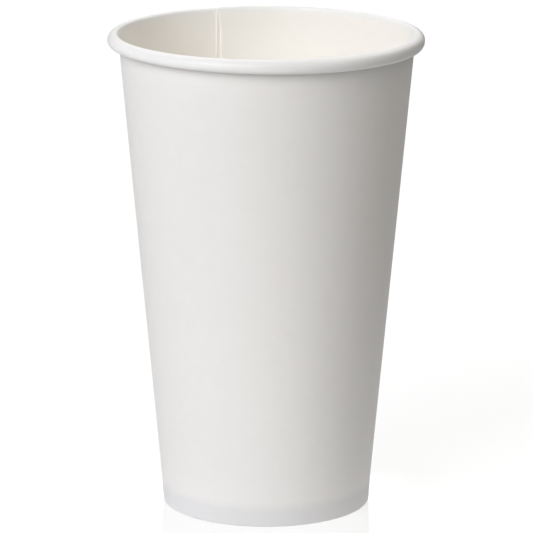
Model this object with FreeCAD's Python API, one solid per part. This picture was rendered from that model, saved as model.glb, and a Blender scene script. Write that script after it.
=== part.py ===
import FreeCAD, Part
import math
import os
from FreeCAD import Vector

# Paper hot-drink cup, single wall, 16 fl oz class.
# Two pieces of board:
#   side_wall    one fan-shaped blank, wrapped to a cone, lapped and glued along
#                one side seam, rolled outward at the mouth and turned in at the foot
#   bottom_disc  one round blank whose edge is turned down as a skirt; the skirt is
#                held between the wall and the wall's turned-in hem
# Frame: +Z up along the cup's axis, origin at the centre of the foot, on the
# surface the cup stands on. Millimetres. The seam is at the back (+Y), a little
# to the left (-X).

# ---- driving dimensions ------------------------------------------------------
OVERALL_HEIGHT = 137.3      # foot to crest of the rolled rim
RIM_OUTER_D = 90.0          # across the rolled rim
WALL_TILT_DEG = 5.25        # cone half angle of the wall
HEEL_TILT_DEG = 3.63        # the pressed heel band stands a little steeper
HEEL_HEIGHT = 6.2           # height of that band
SHEET_T = 0.35              # board of the wall
DISC_T = 0.30               # board of the bottom
SKIRT_PLAY = 0.02           # play of the skirt in the hem, half on each side
FOLD_R = 0.06               # inner corner radius of the crimped foot fold
HEM_TOP_Z = 6.0             # height of the hem's raw edge

CREST_R = 0.87              # rolled rim, radii of the sheet's coated face along the roll
SHOULDER_R = 2.70
BROW_R = 1.84
BELLY_R = 1.79
UNDER_R = 0.85
TAIL_R = 1.05
SHOULDER_DEG = 35.0
BELLY_DROP = 0.17           # short straight part at the rim's widest place
TAIL_RISE = 0.60            # straight part of the tucked end, alongside the wall
TAIL_DEG = 80.0

DISC_TOP_Z = 7.20           # inside floor of the cup
DISC_BEND_R = 0.65          # outer radius of the bend into the skirt
SKIRT_LOW_Z = 0.85          # lower raw edge of the skirt

SEAM_EDGE_DEG = 109.0       # inner raw edge of the lap, anticlockwise from +X
LAP_DEG = 10.5              # overlap of the two sheet ends
JOGGLE_DEG = 3.0            # the outer end steps out over the inner one here
SETTLE_DEG = 3.0            # the inner end's raised fold comes down to the foot here


# ---- plane section paths -----------------------------------------------------
def walk(start, heading_deg, steps):
    """Segments of a smooth path: ('L', length) or ('A', radius, turn_deg), left turns positive."""
    x, z = start
    h = math.radians(heading_deg)
    segs = []
    for s in steps:
        if s[0] == "L":
            x2, z2 = x + s[1] * math.cos(h), z + s[1] * math.sin(h)
            segs.append(((x, z), None, (x2, z2)))
        else:
            r, turn = s[1], math.radians(s[2])
            side = 1.0 if turn > 0 else -1.0
            cx, cz = x - side * r * math.sin(h), z + side * r * math.cos(h)
            def at(a):
                return (cx + side * r * math.sin(a), cz - side * r * math.cos(a))
            mid, end = at(h + turn / 2.0), at(h + turn)
            segs.append(((x, z), mid, end))
            x2, z2 = end
            h += turn
        x, z = x2, z2
    return segs


def aside(steps, d):
    """The same path moved by d to its right: left turns grow, right turns tighten."""
    out = []
    for s in steps:
        if s[0] == "L":
            out.append(s)
        else:
            out.append(("A", s[1] + d if s[2] > 0 else s[1] - d, s[2]))
    return out


WT, HT = WALL_TILT_DEG, HEEL_TILT_DEG
GAP = DISC_T + SKIRT_PLAY
FLAT = GAP / math.cos(math.radians(HT)) - 2.0 * FOLD_R
UP_WALL = 90.0 - WT
UP_HEEL = 90.0 - HT
HEEL_BEND_R = 12.0          # soft change of slope at the top of the heel band


def wall_steps(fold_z):
    """Path of the coated face, from the hem's raw edge to the rolled end.
    fold_z is the height of the coated face at the bottom of the fold."""
    hem = (HEM_TOP_Z - fold_z - FOLD_R) / math.cos(math.radians(HT))
    heel = (HEEL_HEIGHT - fold_z - FOLD_R) / math.cos(math.radians(HT))
    wall = WALL_RUN
    return [("L", hem), ("A", FOLD_R, 90.0 + HT), ("L", FLAT), ("A", FOLD_R, UP_HEEL),
            ("L", heel), ("A", HEEL_BEND_R, UP_WALL - UP_HEEL), ("L", wall),
            ("A", CREST_R, -UP_WALL), ("A", SHOULDER_R, -SHOULDER_DEG),
            ("A", BROW_R, -(90.0 - SHOULDER_DEG)), ("L", BELLY_DROP),
            ("A", BELLY_R, -90.0), ("A", UNDER_R, -(90.0 + WT)),
            ("L", TAIL_RISE), ("A", TAIL_R, -TAIL_DEG)]


WALL_RUN = 100.0
probe = walk((0.0, 0.0), -90.0 - HT, wall_steps(SHEET_T))
foot_z, crest_z = probe[2][0][1], probe[7][2][1]
WALL_RUN += (OVERALL_HEIGHT - SHEET_T - (crest_z - foot_z)) / math.sin(math.radians(UP_WALL))
probe = walk((0.0, 0.0), -90.0 - HT, wall_steps(SHEET_T))
# sideways place: the rolled rim's widest point sits at the rim's outer radius
SHIFT_R = RIM_OUTER_D / 2.0 - probe[9][2][0]
FOOT_PATH_Z = probe[2][0][1]


def face_path(offset, fold_z):
    """Coated-face path moved by offset through the board, with the fold at fold_z."""
    ref = walk((0.0, 0.0), -90.0 - HT, wall_steps(SHEET_T))
    st = wall_steps(fold_z)
    own = walk((0.0, 0.0), -90.0 - HT, st)
    # both keep the same wall line and rim: align on the end of the heel bend
    dx = ref[5][2][0] - own[5][2][0] + SHIFT_R
    dz = ref[5][2][1] - own[5][2][1] + (SHEET_T - FOOT_PATH_Z)
    h = math.radians(-90.0 - HT)
    start = (dx + offset * math.sin(h), dz - offset * math.cos(h))
    return walk(start, -90.0 - HT, aside(st, offset))


def edge(seg, rev=False):
    a, m, b = seg
    if rev:
        a, b = b, a
    va, vb = Vector(a[0], 0, a[1]), Vector(b[0], 0, b[1])
    if m is None:
        return Part.LineSegment(va, vb).toShape()
    return Part.Arc(va, Vector(m[0], 0, m[1]), vb).toShape()


def section(inner, outer):
    """Closed wire between two parallel paths, in the XZ half plane."""
    es = [edge(s) for s in inner]
    es.append(Part.LineSegment(Vector(inner[-1][2][0], 0, inner[-1][2][1]),
                               Vector(outer[-1][2][0], 0, outer[-1][2][1])).toShape())
    es += [edge(s, True) for s in reversed(outer)]
    es.append(Part.LineSegment(Vector(outer[0][0][0], 0, outer[0][0][1]),
                               Vector(inner[0][0][0], 0, inner[0][0][1])).toShape())
    return Part.Wire(es)


def turned(wire, deg):
    w = wire.copy()
    w.rotate(Vector(0, 0, 0), Vector(0, 0, 1), deg)
    return w


def swept(wire, deg_from, deg_to):
    f = Part.Face(turned(wire, deg_from))
    return f.revolve(Vector(0, 0, 0), Vector(0, 0, 1), deg_to - deg_from)


def layer(k, raise_k):
    """Board section k thicknesses out from the coated face's own line."""
    zf = SHEET_T * (1.0 + raise_k)
    return section(face_path(k * SHEET_T, zf), face_path((k + 1.0) * SHEET_T, zf))


# ---- side wall ---------------------------------------------------------------
A = SEAM_EDGE_DEG
B = A - LAP_DEG
single = layer(0.0, 0.0)
inner_end = layer(0.0, 1.0)
outer_end = layer(1.0, 1.0)
half_out = layer(0.5, 0.5)
half_up = layer(0.0, 0.5)

body = swept(single, A + JOGGLE_DEG, B - SETTLE_DEG + 360.0)
joggle = Part.makeLoft([turned(single, A + JOGGLE_DEG), turned(half_out, A + JOGGLE_DEG / 2.0),
                        turned(outer_end, A)], True, True)
lap_in = swept(inner_end, B, A)
lap_out = swept(outer_end, B, A)
settle = Part.makeLoft([turned(inner_end, B), turned(half_up, B - SETTLE_DEG / 2.0),
                        turned(single, B - SETTLE_DEG)], True, True)
side_wall = body.fuse([joggle, lap_in, lap_out, settle])

# ---- bottom disc -------------------------------------------------------------
# the skirt's outer face lies along the coated face of the heel band
heel = face_path(0.0, SHEET_T)[4]
(hx0, hz0), _, (hx1, hz1) = heel
slope = (hx1 - hx0) / (hz1 - hz0)


def heel_r(z):
    return hx0 + (z - hz0) * slope - 0.5 * SKIRT_PLAY


turn = 90.0 + HT
bend_drop = DISC_BEND_R * (1.0 - math.cos(math.radians(turn)))
bend_out = DISC_BEND_R * math.sin(math.radians(turn))
bend_end_z = DISC_TOP_Z - bend_drop
flat_r = heel_r(bend_end_z) - bend_out
skirt = (bend_end_z - SKIRT_LOW_Z) / math.cos(math.radians(HT))
disc_steps = [("L", flat_r), ("A", DISC_BEND_R, -turn), ("L", skirt)]
top_path = walk((0.0, DISC_TOP_Z), 0.0, disc_steps)
low_path = walk((0.0, DISC_TOP_Z - DISC_T), 0.0, aside(disc_steps, DISC_T))
bottom_disc = Part.Face(section(top_path, low_path)).revolve(Vector(0, 0, 0), Vector(0, 0, 1), 360.0)

# ---- output ------------------------------------------------------------------
os.makedirs("parts", exist_ok=True)
for name, shape in (("side_wall", side_wall), ("bottom_disc", bottom_disc)):
    solids = shape.Solids
    if len(solids) == 1:
        shape = solids[0]
    bb = shape.BoundBox
    print(name, "solids", len(solids), "valid", shape.isValid(), "closed", shape.isClosed(),
          "faces", len(shape.Faces), "volume %.1f" % shape.Volume,
          "x %.3f %.3f y %.3f %.3f z %.3f %.3f" % (bb.XMin, bb.XMax, bb.YMin, bb.YMax, bb.ZMin, bb.ZMax))
    shape.exportStep("parts/%s.step" % name)
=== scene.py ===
import bpy
import math
import numpy as np
from mathutils import Matrix, Vector


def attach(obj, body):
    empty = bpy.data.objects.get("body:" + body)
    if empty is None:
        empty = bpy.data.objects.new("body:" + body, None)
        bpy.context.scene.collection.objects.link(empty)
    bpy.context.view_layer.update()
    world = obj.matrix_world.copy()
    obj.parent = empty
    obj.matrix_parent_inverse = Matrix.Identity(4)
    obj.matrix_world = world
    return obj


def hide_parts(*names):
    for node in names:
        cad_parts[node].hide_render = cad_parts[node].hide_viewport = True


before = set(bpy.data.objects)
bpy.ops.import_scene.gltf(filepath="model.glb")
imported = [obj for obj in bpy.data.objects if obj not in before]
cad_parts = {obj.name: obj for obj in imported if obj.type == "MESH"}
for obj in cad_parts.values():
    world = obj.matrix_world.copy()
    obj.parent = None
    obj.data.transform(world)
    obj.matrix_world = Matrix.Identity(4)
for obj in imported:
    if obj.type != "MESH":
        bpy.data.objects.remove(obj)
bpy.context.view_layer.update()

MM = 0.001
scene = bpy.context.scene

# =============================================================== cup section
# Same section as the CAD nodes, in millimetres, as a walk along the board's
# coated face: hem's raw edge, down the hem, round the foot fold, up the heel
# band and the wall, over the rolled rim and into its tucked end.
HEIGHT = 137.3
RIM_D = 90.0
WALL_TILT, HEEL_TILT = 5.25, 3.63
HEEL_H = 6.2
BOARD, DISC_BOARD, PLAY = 0.35, 0.30, 0.02
FOLD_R = 0.06
HEM_TOP = 6.0
CREST_R, SHOULDER_R, BROW_R, BELLY_R, UNDER_R, TAIL_R = 0.79, 2.70, 1.84, 1.79, 0.85, 1.05
FLARE_R, FLARE_DEG = 8.0, 9.0    # the wall bends softly outward just below the crest
SHOULDER_DEG, TAIL_DEG = 35.0, 80.0
BELLY_DROP, TAIL_RISE = 0.17, 0.60
HEEL_BEND_R = 55.0            # soft change of slope above the pressed heel band
TOE_H, TOE_DEG, TOE_R = 1.30, 1.8, 0.9   # the crimp line just above the foot, and the turn below it

GAP = DISC_BOARD + PLAY
FLAT = GAP / math.cos(math.radians(HEEL_TILT)) - 2 * FOLD_R
UP_WALL, UP_HEEL = 90.0 - WALL_TILT, 90.0 - HEEL_TILT


def wall_steps(fold_z, run):
    c = math.cos(math.radians(HEEL_TILT))
    toe = (TOE_H - fold_z - FOLD_R) / math.cos(math.radians(HEEL_TILT + TOE_DEG))
    bend = HEEL_BEND_R * math.radians(UP_HEEL - UP_WALL)
    heel = (HEEL_H - TOE_H) / c - bend / 2
    return [("L", (HEM_TOP - fold_z - FOLD_R) / c, 5), ("A", FOLD_R, 90.0 + HEEL_TILT, 5), ("L", FLAT, 1),
            ("A", FOLD_R, UP_HEEL - TOE_DEG, 5), ("L", toe, 2), ("A", TOE_R, TOE_DEG, 2), ("L", heel, 4),
            ("A", HEEL_BEND_R, UP_WALL - UP_HEEL, 5), ("L", run, 34),
            ("A", FLARE_R, -FLARE_DEG, 6), ("A", CREST_R, FLARE_DEG - UP_WALL, 9), ("A", SHOULDER_R, -SHOULDER_DEG, 6),
            ("A", BROW_R, -(90.0 - SHOULDER_DEG), 7), ("L", BELLY_DROP, 1), ("A", BELLY_R, -90.0, 11),
            ("A", UNDER_R, -(90.0 + WALL_TILT), 8), ("L", TAIL_RISE, 1), ("A", TAIL_R, -TAIL_DEG, 6)]


def corners(steps):
    x = z = 0.0
    h = math.radians(-90.0 - HEEL_TILT)
    out = [(x, z)]
    for kind, a, b, *_ in [s if s[0] == "A" else (s[0], s[1], 0) for s in steps]:
        if kind == "L":
            x, z = x + a * math.cos(h), z + a * math.sin(h)
        else:
            t = math.radians(b)
            side = 1.0 if t > 0 else -1.0
            cx, cz = x - side * a * math.sin(h), z + side * a * math.cos(h)
            h += t
            x, z = cx + side * a * math.sin(h), cz - side * a * math.cos(h)
        out.append((x, z))
    return out


WALL_I, CREST_I, BELLY_I = 8, 10, 13      # steps: the wall's run, the crest's arc, the straight at the widest place
run = 100.0
e = corners(wall_steps(BOARD, run))
run += (HEIGHT - BOARD - (e[CREST_I + 1][1] - e[2][1])) / math.sin(math.radians(UP_WALL))
e = corners(wall_steps(BOARD, run))
shift_r = RIM_D / 2 - e[BELLY_I][0]
base_z = BOARD - e[2][1]


def line(fold_z):
    """Coated-face points, unit normals to the walk's right, step number and distance along the walk."""
    steps = wall_steps(fold_z, run)
    own = corners(steps)
    x = e[WALL_I][0] - own[WALL_I][0] + shift_r
    z = e[WALL_I][1] - own[WALL_I][1] + base_z
    h = math.radians(-90.0 - HEEL_TILT)
    pts, nrm, num, dist = [], [], [], []
    d = 0.0
    for k, s in enumerate(steps):
        n = s[-1]
        if s[0] == "L":
            for i in range(n):
                u = s[1] * i / n
                pts.append((x + u * math.cos(h), z + u * math.sin(h)))
                nrm.append((math.sin(h), -math.cos(h)))
                num.append(k)
                dist.append(d + u)
            x, z, d = x + s[1] * math.cos(h), z + s[1] * math.sin(h), d + s[1]
        else:
            r, t = s[1], math.radians(s[2])
            side = 1.0 if t > 0 else -1.0
            cx, cz = x - side * r * math.sin(h), z + side * r * math.cos(h)
            for i in range(n):
                a = h + t * i / n
                pts.append((cx + side * r * math.sin(a), cz - side * r * math.cos(a)))
                nrm.append((math.sin(a), -math.cos(a)))
                num.append(k)
                dist.append(d + r * abs(t) * i / n)
            h += t
            x, z, d = cx + side * r * math.sin(h), cz - side * r * math.cos(h), d + r * abs(t)
    pts.append((x, z))
    nrm.append((math.sin(h), -math.cos(h)))
    num.append(len(steps))
    dist.append(d)
    return np.array(pts), np.array(nrm), np.array(num), np.array(dist)


def smooth(a, b, x):
    t = np.clip((np.asarray(x, float) - a) / (b - a), 0, 1)
    return t * t * (3 - 2 * t)


# =============================================================== side wall
SEAM_A = math.radians(109.15)       # inner raw edge, high on the wall
LAP = 7.0                           # width of the overlap
BAND = 1.2                          # pressed strip beside the raw edge
ROUND = 2 * math.pi
SIDE = 0.20                         # the wall's axis lies this far to the right of the roll's

P0, N0, STEP, DIST = line(BOARD)           # ordinary section
P1, N1, _, _ = line(2 * BOARD)             # with the fold raised one board, under the lap
rows = len(P0)
R0, Z0 = P0[:, 0], P0[:, 1]
on_wall = (STEP >= 4) & (STEP <= WALL_I + 1)
rolled = smooth(0, 1, (DIST - DIST[STEP == CREST_I][0]) / 1.2)          # 0 on the wall, 1 on the roll
crest_at = DIST[STEP == CREST_I + 1][0]
low_at = DIST[STEP == BELLY_I + 2][0]

# the raw edge runs parallel to the seam's middle line, with a slight waver where the roll begins
mid = SEAM_A - (LAP / 2) / 41.3
edge_a = mid + (LAP / 2) / R0
edge_a = edge_a + math.radians(0.70) * np.exp(-((DIST - crest_at + 2.9) / 1.1) ** 2)
edge_a = edge_a + math.radians(0.06) * np.sin(DIST / 9.0) * on_wall + math.radians(0.30) * smooth(130, 118, Z0)
lap_w = LAP / R0
jog_w = 9.6 / R0
band = BAND * (1 - 0.60 * smooth(132.5, 135.5, Z0))          # the strip narrows where the roll begins
band_w = band / R0

# columns: the overlap's inner layer, once round, the step outward, the strip, the overlap's outer layer
groups = [("in", 16), ("round", 262), ("jog", 14), ("band", 16), ("out", 12)]
psi, off_a, off_b, lift = [], [], [], []
thin = 0.90 - 0.30 * rolled                    # the two layers are pressed together, hardest in the roll
zero = np.zeros(rows)
for name, n in groups:
    for i in range(n + (name == "out")):
        t = i / n
        if name == "in":
            t = t ** 2.0
            a, b, thick, up = zero, lap_w, thin, 1.0
            corner = 0.12 * math.exp(-t * LAP / 0.20)            # the pressed edge slopes down to the raw cut
            q = (a + (b - a) * t, zero + corner, thick * BOARD + zero, up)
        elif name == "round":
            a, b = lap_w, ROUND - band_w - jog_w
            s = (b - a) * t * R0                                    # distance past the overlap
            th = thin + (1 - thin) * smooth(0, 2.0, s)
            q = (a + (b - a) * t, zero, th * BOARD, 1 - smooth(0, 2.5, s[0]))
        elif name == "jog":
            a, b = ROUND - band_w - jog_w, ROUND - band_w
            k = smooth(0, 1, t) * (thin * BOARD + 0.010)
            q = (a + (b - a) * t, k, k + BOARD * (1 + (thin - 1) * float(smooth(0, 1, t))), float(smooth(0, 1, t)))
        elif name == "band":
            a, b = ROUND - band_w, ROUND + zero
            bead = 0.150 * np.exp(-((t * band - 0.20) / 0.18) ** 2) * smooth(112, 126, Z0) * (1 - rolled)
            k = thin * BOARD + 0.010
            q = (a + (b - a) * t, k - bead, k + thin * BOARD, 1.0)
        else:
            a, b = ROUND + zero, ROUND + lap_w
            t = 1 - (1 - t) ** 1.6
            k = thin * BOARD + 0.010
            corner = 0.07 * math.exp(-(1 - t) * LAP / 0.10)
            q = (a + (b - a) * t, k, k + thin * BOARD - corner, 1.0)
        psi.append(q[0])
        off_a.append(q[1] + zero)
        off_b.append(q[2] + zero)
        lift.append(q[3])
psi, off_a, off_b = np.array(psi), np.array(off_a), np.array(off_b)      # columns by rows
lift = np.array(lift)[:, None]
cols = len(psi)
theta = edge_a[None, :] - psi


def low_wave(th, z):
    """Slight out-of-round and waviness that rolled board keeps, in mm."""
    return (0.045 * np.sin(2 * th + 0.8) * z / 137 + 0.022 * np.sin(3 * th - 1.1 + z / 60) +
            0.012 * np.sin(5 * th + z / 31) + 0.007 * np.sin(9 * th - z / 17 + 2.0))


def place(r, z, th, dist, num):
    """Section point to the cup: small irregularities of a real cup, then metres."""
    w = low_wave(th, z)
    on_roll = smooth(crest_at - 2.0, crest_at + 1.0, dist)
    r = r + w * (1 - 0.55 * on_roll) * smooth(0, 8, z) - 0.034 * on_roll
    # the roll is a little deeper on the right than on the left, and hand-scale uneven underneath
    deep = smooth(crest_at + 3.0, low_at, dist)
    x = r * np.cos(th)
    z = z - deep * (0.0100 * x + 0.030 * np.sin(4 * th + 0.6) + 0.018 * np.sin(11 * th))
    # the wall stands a hair to the right of the roll, which is wider on the left
    x = x + SIDE * (1 - smooth(crest_at - 7.0, crest_at, dist) + smooth(low_at - 1.0, low_at + 1.5, dist)) - 0.010
    return np.stack([x, r * np.sin(th), z], -1) * MM


def face(off):
    s = lift
    p = P0[None] * (1 - s[..., None]) + P1[None] * s[..., None]
    n = N0[None] * (1 - s[..., None]) + N1[None] * s[..., None]
    q = p + n * off[..., None]
    return place(q[..., 0], q[..., 1], theta, DIST[None, :] + 0 * theta, STEP[None, :] + 0 * psi)


A_pts, B_pts = face(off_a), face(off_b)

# material numbers: 0 uncoated outer face, 1 coated face, 2 cut edge
nA = cols * rows
co = np.concatenate([A_pts.reshape(-1, 3), B_pts.reshape(-1, 3)])
ia = np.arange(nA).reshape(cols, rows)
ib = ia + nA
quads, mats = [], []


def grid(idx, flip, mat):
    a, b, c, d = idx[:-1, :-1], idx[1:, :-1], idx[1:, 1:], idx[:-1, 1:]
    f = np.stack([a, b, c, d] if not flip else [a, d, c, b], -1).reshape(-1, 4)
    quads.append(f)
    mats.append(np.full(len(f), mat))


grid(ia, False, 1)
grid(ib, True, 0)


def strip(i0, i1, flip):
    a, b, c, d = i0[:-1], i0[1:], i1[1:], i1[:-1]
    f = np.stack([a, b, c, d] if not flip else [a, d, c, b], -1)
    quads.append(f)
    mats.append(np.full(len(f), 2))


strip(ia[:, 0], ib[:, 0], True)           # hem's raw edge
strip(ia[:, -1], ib[:, -1], False)        # end tucked in the roll
strip(ia[0, :], ib[0, :], False)          # inner edge of the lap
strip(ia[-1, :], ib[-1, :], True)         # outer edge of the lap
quads, mats = np.concatenate(quads), np.concatenate(mats)

# flat-blank coordinates: metres round the blank and along the walk
uv_u = (psi * R0[None, :]) * MM
uv_v = (DIST[None, :] + 0 * psi) * MM
uv_pts = np.stack([uv_u, uv_v], -1).reshape(-1, 2)
uv_pts = np.concatenate([uv_pts, uv_pts + (0.5, 0.0)])
walk_at = np.concatenate([(DIST[None, :] + 0 * psi).reshape(-1)] * 2)


def build(name, co, faces, mats, materials, uv=None, attr=None):
    me = bpy.data.meshes.new(name)
    me.from_pydata([tuple(v) for v in co.tolist()], [], [tuple(f) for f in faces])
    me.update()
    for m in materials:
        me.materials.append(m)
    me.polygons.foreach_set("material_index", np.asarray(mats, dtype=np.int32))
    me.polygons.foreach_set("use_smooth", np.ones(len(me.polygons), dtype=bool))
    if uv is not None:
        lay = me.uv_layers.new(name="blank")
        vi = np.empty(len(me.loops), dtype=np.int32)
        me.loops.foreach_get("vertex_index", vi)
        lay.data.foreach_set("uv", uv[vi].astype(np.float32).reshape(-1))
    if attr is not None:
        for key, val in attr.items():
            at = me.attributes.new(key, "FLOAT", "POINT")
            at.data.foreach_set("value", val.astype(np.float32))
    # edges where the material changes are cut edges: keep them crisp
    ek = {}
    for p in me.polygons:
        for k in p.edge_keys:
            ek.setdefault(k, set()).add(p.material_index)
    sharp = np.array([len(ek.get(tuple(sorted(ed.vertices)), {0})) > 1 for ed in me.edges])
    at = me.attributes.get("sharp_edge") or me.attributes.new("sharp_edge", "BOOLEAN", "EDGE")
    at.data.foreach_set("value", sharp)
    me.validate()
    me.update()
    ob = bpy.data.objects.new(name, me)
    scene.collection.objects.link(ob)
    return ob


# =============================================================== materials
def board(name, base, shade, rough, fibre, tooth, coat=0.0, mottle=0.5, painted_tones=()):
    """Cup board. base and shade: light and dark of its cloudy formation, as linear colours.
    fibre: strength of the fibre relief; tooth: its depth in metres."""
    m = bpy.data.materials.new(name)
    m.use_nodes = True
    nt = m.node_tree
    bs = nt.nodes["Principled BSDF"]

    def node(kind, **sets):
        n = nt.nodes.new(kind)
        for k, v in sets.items():
            if k in n.inputs:
                n.inputs[k].default_value = v
            else:
                setattr(n, k, v)
        return n

    def link(a, b):
        nt.links.new(a, b)

    co = node("ShaderNodeTexCoord").outputs["Object"]
    # cloudy formation of the pulp, about 3 to 6 mm across
    cloud = node("ShaderNodeTexNoise", Scale=260.0, Detail=4.0, Roughness=0.62)
    link(co, cloud.inputs["Vector"])
    # fibres: short streaks that lie mostly along the machine direction, up the wall
    stretch = node("ShaderNodeMapping")
    stretch.inputs["Scale"].default_value = (1.0, 1.0, 0.28)
    link(co, stretch.inputs["Vector"])
    streak = node("ShaderNodeTexNoise", Scale=3600.0, Detail=3.0, Roughness=0.6, Distortion=0.35)
    link(stretch.outputs["Vector"], streak.inputs["Vector"])
    felt = node("ShaderNodeTexNoise", Scale=1500.0, Detail=2.0, Roughness=0.5)
    link(co, felt.inputs["Vector"])
    # colour
    mixf = node("ShaderNodeMapRange")
    mixf.inputs["From Min"].default_value = 0.30
    mixf.inputs["From Max"].default_value = 0.70
    link(cloud.outputs["Fac"], mixf.inputs["Value"])
    colour = node("ShaderNodeMix", data_type="RGBA")
    colour.inputs["A"].default_value = (*shade, 1)
    colour.inputs["B"].default_value = (*base, 1)
    link(mixf.outputs["Result"], colour.inputs["Factor"])
    tint = node("ShaderNodeMix", data_type="RGBA", blend_type="MULTIPLY")
    tint.inputs["Factor"].default_value = mottle
    link(colour.outputs["Result"], tint.inputs["A"])
    grain = node("ShaderNodeMapRange")
    grain.inputs["From Min"].default_value = 0.25
    grain.inputs["From Max"].default_value = 0.75
    grain.inputs["To Min"].default_value = 0.955
    grain.inputs["To Max"].default_value = 1.0
    link(streak.outputs["Fac"], grain.inputs["Value"])
    link(grain.outputs["Result"], tint.inputs["B"])
    out = tint.outputs["Result"]
    for tone, low, high in painted_tones:
        # a painted tone standing for light and shade: full tone at low, none at high, along the walk
        at = node("ShaderNodeAttribute", attribute_name="walk", attribute_type="GEOMETRY")
        ramp = node("ShaderNodeMapRange", interpolation_type="SMOOTHSTEP")
        ramp.inputs["From Min"].default_value = low
        ramp.inputs["From Max"].default_value = high
        link(at.outputs["Fac"], ramp.inputs["Value"])
        mx = node("ShaderNodeMix", data_type="RGBA", blend_type="MULTIPLY")
        inv = node("ShaderNodeMath", operation="SUBTRACT")
        inv.inputs[0].default_value = 1.0
        link(ramp.outputs["Result"], inv.inputs[1])
        link(inv.outputs["Value"], mx.inputs["Factor"])
        link(out, mx.inputs["A"])
        mx.inputs["B"].default_value = (*tone, 1)
        out = mx.outputs["Result"]
    link(out, bs.inputs["Base Color"])
    # sheen of the surface varies with the fibres
    rg = node("ShaderNodeMapRange")
    rg.inputs["To Min"].default_value = rough - 0.06
    rg.inputs["To Max"].default_value = rough + 0.06
    link(felt.outputs["Fac"], rg.inputs["Value"])
    link(rg.outputs["Result"], bs.inputs["Roughness"])
    bs.inputs["IOR"].default_value = 1.47
    bs.inputs["Specular IOR Level"].default_value = 0.42 if coat == 0 else 0.5
    if coat:
        bs.inputs["Coat Weight"].default_value = coat
        bs.inputs["Coat Roughness"].default_value = 0.35
        bs.inputs["Coat IOR"].default_value = 1.45
    # relief: felt-side hills, then fibres
    b1 = node("ShaderNodeBump", Strength=fibre * 0.6)
    b1.inputs["Distance"].default_value = tooth * 2.0
    link(felt.outputs["Fac"], b1.inputs["Height"])
    b2 = node("ShaderNodeBump", Strength=fibre)
    b2.inputs["Distance"].default_value = tooth
    link(streak.outputs["Fac"], b2.inputs["Height"])
    link(b1.outputs["Normal"], b2.inputs["Normal"])
    link(b2.outputs["Normal"], bs.inputs["Normal"])
    return m


CREST_WALK = float(crest_at)
WALK_Z = DIST[STEP <= WALL_I]
Z_WALK = Z0[STEP <= WALL_I]


def walk_at_height(z):
    k = np.argmax(np.diff(Z_WALK) > 0)
    return float(np.interp(z, Z_WALK[k:], WALK_Z[k:]))


# painted shade: the outer face is darker towards the foot, and darker and cooler still on the heel band, standing for
# light that a single layer lets through from inside and that the foot's three layers, pressed flat, don't
outside = board("board_outside", (0.851, 0.835, 0.821), (0.837, 0.819, 0.805), 0.62, 0.35, 1.6e-5,
                painted_tones=(((0.972, 0.974, 0.978), walk_at_height(8.0), walk_at_height(52.0)),
                       ((0.900, 0.908, 0.934), walk_at_height(3.8), walk_at_height(7.8))))
# creamy and coated inside. Painted bounce light: creamier with depth, standing for warm light bounced many times inside
# the cup. Painted light: whitened from just under the crest onwards, standing for the more direct light the band under
# the crest gets; painted shade: greyed again from the crest onwards, darkening the roll
inside = board("board_coated", (0.959, 0.942, 0.910), (0.947, 0.929, 0.897), 0.44, 0.22, 1.2e-5, coat=0.15,
               painted_tones=(((0.965, 0.985, 1.018), CREST_WALK - 1.3, CREST_WALK - 2.9),
                      ((0.957, 0.951, 0.951), CREST_WALK + 0.1, CREST_WALK - 0.8),
                      ((1.0, 0.955, 0.870), CREST_WALK - 40.0, CREST_WALK - 14.0)))
cut = board("board_cut_edge", (0.960, 0.942, 0.905), (0.895, 0.877, 0.842), 0.85, 0.9, 4.0e-5, mottle=1.0)
# painted bounce light: the cup's floor is as cream as the deepest wall, standing for warm light bounced many times
# inside the cup
floor_of_cup = board("board_bottom_coated", (0.950, 0.900, 0.800), (0.937, 0.887, 0.787), 0.44, 0.22, 1.2e-5, coat=0.15)
under = board("board_bottom_under", (0.846, 0.830, 0.812), (0.826, 0.809, 0.790), 0.68, 0.45, 2.0e-5)

wall = build("cup_wall", co, quads.tolist(), mats, [outside, inside, cut], uv_pts, {"walk": walk_at})
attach(wall, "root")
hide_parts("side_wall")

# =============================================================== bottom disc
heel_step = 6
h0 = P0[STEP == heel_step][0]
h1 = P0[STEP == heel_step + 1][0]
slope = (h1[0] - h0[0]) / (h1[1] - h0[1])


def heel_r(z):
    return h0[0] + (z - h0[1]) * slope - 0.5 * PLAY - 0.012


DISC_TOP, BEND_R, SKIRT_LOW = 7.20, 0.65, 0.85
turn = math.radians(90.0 + HEEL_TILT)
bend_end = DISC_TOP - BEND_R * (1 - math.cos(turn))
flat_r = heel_r(bend_end) - BEND_R * math.sin(turn)
skirt = (bend_end - SKIRT_LOW) / math.cos(math.radians(HEEL_TILT))
prof = []       # (r, z, nr, nz) on the upper face, normal to the right of the walk
for i in range(1, 19):
    prof.append((flat_r * i / 18, DISC_TOP, 0.0, -1.0))
for i in range(1, 11):
    a = -turn * i / 10
    prof.append((flat_r - BEND_R * math.sin(a), DISC_TOP - BEND_R + BEND_R * math.cos(a), math.sin(a), -math.cos(a)))
ex, ez = prof[-1][0], prof[-1][1]
hx, hz = math.cos(-turn), math.sin(-turn)
for i in range(1, 6):
    prof.append((ex + hx * skirt * i / 5, ez + hz * skirt * i / 5, math.sin(-turn), -math.cos(-turn)))
prof = np.array(prof)
ND = 144
ang = np.arange(ND) * 2 * math.pi / ND


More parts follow.
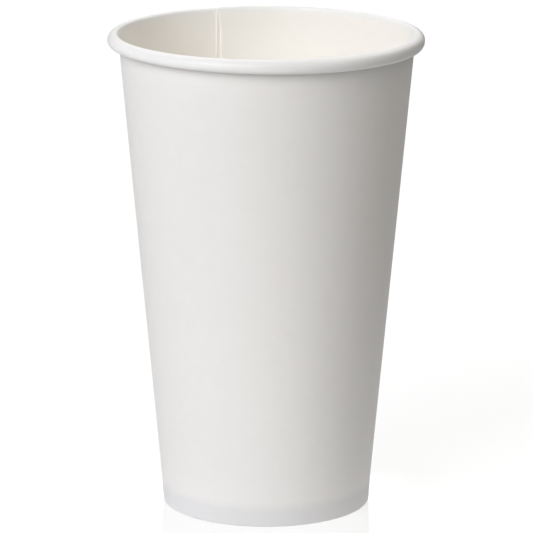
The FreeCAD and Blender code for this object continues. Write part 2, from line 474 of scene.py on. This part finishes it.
def disc_face(off):
    r = prof[:, 0] + off * prof[:, 2]
    z = prof[:, 1] + off * prof[:, 3]
    rr, th = np.meshgrid(r, ang, indexing="ij")
    zz = np.repeat(z[:, None], ND, 1)
    # pressed flat, with the slight dish and ripple that the crimp leaves
    inner = 1 - smooth(flat_r * 0.2, flat_r * 0.97, rr)
    zz = zz - 0.22 * inner + 0.020 * np.sin(3 * th + rr / 7) * smooth(2, 20, rr) * (1 - smooth(flat_r * 0.9, flat_r, rr))
    # the skirt follows the wall that clamps it
    rr = rr + low_wave(th, zz) * smooth(0, 8, zz) * smooth(8, 27, rr)
    x = rr * np.cos(th) + SIDE - 0.010
    y = rr * np.sin(th)
    return np.stack([x, y, zz], -1) * MM


up, dn = disc_face(0.0), disc_face(DISC_BOARD)
nr = len(prof)
cz_up, cz_dn = (DISC_TOP - 0.22) * MM, (DISC_TOP - DISC_BOARD - 0.22) * MM
cx = (SIDE - 0.010) * MM
dco = np.concatenate([up.reshape(-1, 3), dn.reshape(-1, 3), [[cx, 0, cz_up], [cx, 0, cz_dn]]])
iu = np.arange(nr * ND).reshape(nr, ND)
il = iu + nr * ND
cu, cl = 2 * nr * ND, 2 * nr * ND + 1
faces, fm = [], []
nxt = np.roll(np.arange(ND), -1)
for j in range(ND):
    k = int(nxt[j])
    faces.append((cu, int(iu[0, j]), int(iu[0, k])))
    fm.append(0)
    faces.append((cl, int(il[0, k]), int(il[0, j])))
    fm.append(1)
    for i in range(nr - 1):
        faces.append((int(iu[i, j]), int(iu[i + 1, j]), int(iu[i + 1, k]), int(iu[i, k])))
        fm.append(0)
        faces.append((int(il[i, j]), int(il[i, k]), int(il[i + 1, k]), int(il[i + 1, j])))
        fm.append(1)
    faces.append((int(iu[-1, j]), int(il[-1, j]), int(il[-1, k]), int(iu[-1, k])))
    fm.append(2)
disc = build("cup_bottom", dco, faces, fm, [floor_of_cup, under, cut])
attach(disc, "root")
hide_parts("bottom_disc")

# =============================================================== floor
fm_ = bpy.data.materials.new("pale_floor")
fm_.use_nodes = True
fnt = fm_.node_tree
fb = fnt.nodes["Principled BSDF"]
fb.inputs["Roughness"].default_value = 0.12
fb.inputs["Specular IOR Level"].default_value = 0.5
tc = fnt.nodes.new("ShaderNodeTexCoord")
fn = fnt.nodes.new("ShaderNodeTexNoise")
fn.inputs["Scale"].default_value = 9.0
fnt.links.new(tc.outputs["Object"], fn.inputs["Vector"])
fmix = fnt.nodes.new("ShaderNodeMix")
fmix.data_type = "RGBA"
fmix.inputs["A"].default_value = (0.345, 0.345, 0.345, 1)
fmix.inputs["B"].default_value = (0.355, 0.355, 0.355, 1)
fnt.links.new(fn.outputs["Fac"], fmix.inputs["Factor"])
fnt.links.new(fmix.outputs["Result"], fb.inputs["Base Color"])
# a pale sheet lit from within, brighter towards the back, weaker out to the sides
GLOW = {"mid": 0.39, "back": 0.73, "far": 0.86, "front": 0.60, "left": 0.155, "right": 0.04, "toe_left": 0.57, "toe_right": 0.61}
sep = fnt.nodes.new("ShaderNodeSeparateXYZ")
fnt.links.new(tc.outputs["Object"], sep.inputs["Vector"])
# half width of the evenly lit strip: it widens to the back
spread = fnt.nodes.new("ShaderNodeMath")
spread.operation = "MULTIPLY_ADD"
fnt.links.new(sep.outputs["Y"], spread.inputs[0])
spread.inputs[1].default_value = -0.068
wide = fnt.nodes.new("ShaderNodeMath")
wide.operation = "ABSOLUTE"
fnt.links.new(sep.outputs["X"], wide.inputs[0])
fnt.links.new(wide.outputs["Value"], spread.inputs[2])


def ramp_node(source, a, b, lo, hi):
    n = fnt.nodes.new("ShaderNodeMapRange")
    n.interpolation_type = "SMOOTHSTEP"
    fnt.links.new(source, n.inputs["Value"])
    for key, v in (("From Min", a), ("From Max", b), ("To Min", lo), ("To Max", hi)):
        n.inputs[key].default_value = v
    return n


def mix_node(factor, source, value):
    n = fnt.nodes.new("ShaderNodeMix")
    n.data_type = "FLOAT"
    fnt.links.new(factor.outputs["Result"], n.inputs["Factor"])
    fnt.links.new(source.outputs["Result"], n.inputs["A"])
    n.inputs["B"].default_value = value
    return n


glow_front = ramp_node(sep.outputs["Y"], -0.090, -0.045, GLOW["front"], GLOW["mid"])
# the strip just before the foot, where the floor reflects the cup, glows brighter: painted light that washes out the
# reflection there
toe_y = ramp_node(sep.outputs["Y"], 0.034, 0.006, 0.0, 1.0)
toe_x = ramp_node(wide.outputs["Value"], 0.048, 0.026, 0.0, 1.0)
toe = fnt.nodes.new("ShaderNodeMath")
toe.operation = "MULTIPLY"
fnt.links.new(toe_y.outputs["Result"], toe.inputs[0])
fnt.links.new(toe_x.outputs["Result"], toe.inputs[1])
toe_glow = ramp_node(sep.outputs["X"], -0.022, 0.028, GLOW["toe_left"], GLOW["toe_right"])
glow_far = mix_node(ramp_node(sep.outputs["Y"], -0.030, 0.200, 0.0, 1.0), glow_front, GLOW["far"])
glow_back = ramp_node(sep.outputs["Y"], 0.100, 0.850, GLOW["back"], GLOW["far"])
glow_back.interpolation_type = "LINEAR"
fnt.links.new(glow_back.outputs["Result"], glow_far.inputs["B"])
glow = mix_node(ramp_node(spread.outputs["Value"], 0.082, 0.115, 0.0, 1.0), glow_far, GLOW["right"])
glow_left = ramp_node(sep.outputs["X"], -0.01, 0.01, GLOW["left"], GLOW["right"])
fnt.links.new(glow_left.outputs["Result"], glow.inputs["B"])
glow_toe = fnt.nodes.new("ShaderNodeMix")
glow_toe.data_type = "FLOAT"
fnt.links.new(toe.outputs["Value"], glow_toe.inputs["Factor"])
fnt.links.new(glow.outputs["Result"], glow_toe.inputs["A"])
fnt.links.new(toe_glow.outputs["Result"], glow_toe.inputs["B"])
fnt.links.new(glow_toe.outputs["Result"], fb.inputs["Emission Strength"])
fb.inputs["Emission Color"].default_value = (1.0, 1.0, 1.0, 1)
fme = bpy.data.meshes.new("floor")
NF = 48
rad = [0.0] + [0.25 * (1.09 ** i) - 0.2 for i in range(30)]
fv, ff = [(0, 0, -0.0001)], []
for r_ in rad[1:]:
    for k in range(NF):
        a = 2 * math.pi * k / NF
        fv.append((r_ * math.cos(a), r_ * math.sin(a), -0.0001))
for k in range(NF):
    ff.append((0, 1 + k, 1 + (k + 1) % NF))
for i in range(len(rad) - 2):
    for k in range(NF):
        a0, b0 = 1 + i * NF + k, 1 + i * NF + (k + 1) % NF
        ff.append((a0, a0 + NF, b0 + NF, b0))
fme.from_pydata(fv, [], ff)
fme.materials.append(fm_)
floor = bpy.data.objects.new("floor", fme)
scene.collection.objects.link(floor)

# =============================================================== light
world = scene.world or bpy.data.worlds.new("studio")
scene.world = world
world.use_nodes = True
bg = world.node_tree.nodes.get("Background")
WORLD = 0.0
bg.inputs["Color"].default_value = (1.0, 1.0, 1.0, 1)
bg.inputs["Strength"].default_value = WORLD


def softbox(name, az, el, dist, w, h, power, colour=(1, 1, 1)):
    """A soft light round the cup: azimuth 0 is the camera's side, 90 the right, el above the floor."""
    a, b = math.radians(az), math.radians(el)
    centre = Vector((0, 0, 0.07))
    back = Vector((math.sin(a) * math.cos(b), -math.cos(a) * math.cos(b), math.sin(b)))
    ld = bpy.data.lights.new(name, "AREA")
    ld.shape = "RECTANGLE"
    ld.size, ld.size_y = w, h
    ld.energy = power
    ld.color = colour
    ob = bpy.data.objects.new(name, ld)
    ob.location = centre + back * dist
    ob.rotation_mode = "QUATERNION"
    ob.rotation_quaternion = (-back).to_track_quat("-Z", "Y")
    ob.visible_camera = False
    scene.collection.objects.link(ob)
    return ob


LIGHTS = [
    ("key_left", -40, 33, 1.2, 0.7, 0.7, 8.41, (0.947, 0.953, 1.000)),
    ("key", -25, 33, 1.2, 0.7, 0.7, 3.71, (1.000, 0.983, 0.885)),
    ("right_low", 60, 33, 1.2, 0.7, 0.7, 1.66, (1.000, 0.973, 0.889)),
    ("back_right_low", 160, 33, 1.2, 0.7, 0.7, 1.44, (0.975, 0.988, 1.000)),
    ("back_left_low", -160, 33, 1.2, 0.7, 0.7, 0.62, (1.000, 0.999, 0.989)),
    ("left_back_low", -130, 15, 1.2, 0.7, 0.7, 1.31, (0.993, 1.000, 0.995)),
    ("left_low", -100, 15, 1.2, 0.7, 0.7, 1.69, (0.945, 0.966, 1.000)),
    ("right_high", 90, 62, 1.2, 0.7, 0.7, 1.86, (1.000, 0.958, 0.905)),
    ("right_back_high", 125, 50, 1.2, 0.7, 0.7, 2.50, (1.000, 0.965, 0.925)),
    ("back_left_high", -160, 50, 1.2, 0.7, 0.7, 1.88, (1.000, 0.999, 0.984)),
    ("back_high", 180, 55, 1.2, 0.7, 0.7, 1.27, (0.995, 1.000, 1.000)),
]
lights = [softbox(*l) for l in LIGHTS]
# a pale card low down behind, which the floor reflects towards the camera's side
ld = bpy.data.lights.new("back_card", "AREA")
ld.shape = "RECTANGLE"
ld.size, ld.size_y = 1.275, 0.38
ld.energy = 3.0
card = bpy.data.objects.new("back_card", ld)
card.location = (0, 3.0, 1.01)
card.rotation_mode = "QUATERNION"
card.rotation_quaternion = Vector((0, -1, 0)).to_track_quat("-Z", "Y")
card.visible_camera = False
scene.collection.objects.link(card)
lights.append(card)

# =============================================================== camera
# fitted to the photograph's outline: 533 x 533, focal length in pixels, aim, shift and roll
D, F, EL, U0, V0, ROLL = 1156.29, 4025.95, 13.5938, -0.0637, 3.2094, 0.1017
AIM = Vector((0.184, 0, 68.0))
el, ro = math.radians(EL), math.radians(ROLL)
back = Vector((0, -math.cos(el), math.sin(el)))
right = Vector((1, 0, 0))
upv = Vector((0, math.sin(el), math.cos(el)))
pos = AIM + back * D - right * (U0 * D / F) + upv * (V0 * D / F)
r2 = math.cos(ro) * right + math.sin(ro) * upv
u2 = -math.sin(ro) * right + math.cos(ro) * upv
cd = bpy.data.cameras.new("photo_camera")
cd.sensor_fit = "HORIZONTAL"
cd.sensor_width = 36.0
cd.lens = F / 533.0 * 36.0
cd.clip_start, cd.clip_end = 0.05, 20.0
cam = bpy.data.objects.new("photo_camera", cd)
m = Matrix((r2, u2, back)).transposed().to_4x4()
m.translation = pos * MM
cam.matrix_world = m
scene.collection.objects.link(cam)
scene.camera = cam

scene.view_settings.view_transform = "Standard"
scene.view_settings.look = "None"
scene.view_settings.exposure = 0.0
scene.view_settings.gamma = 1.0
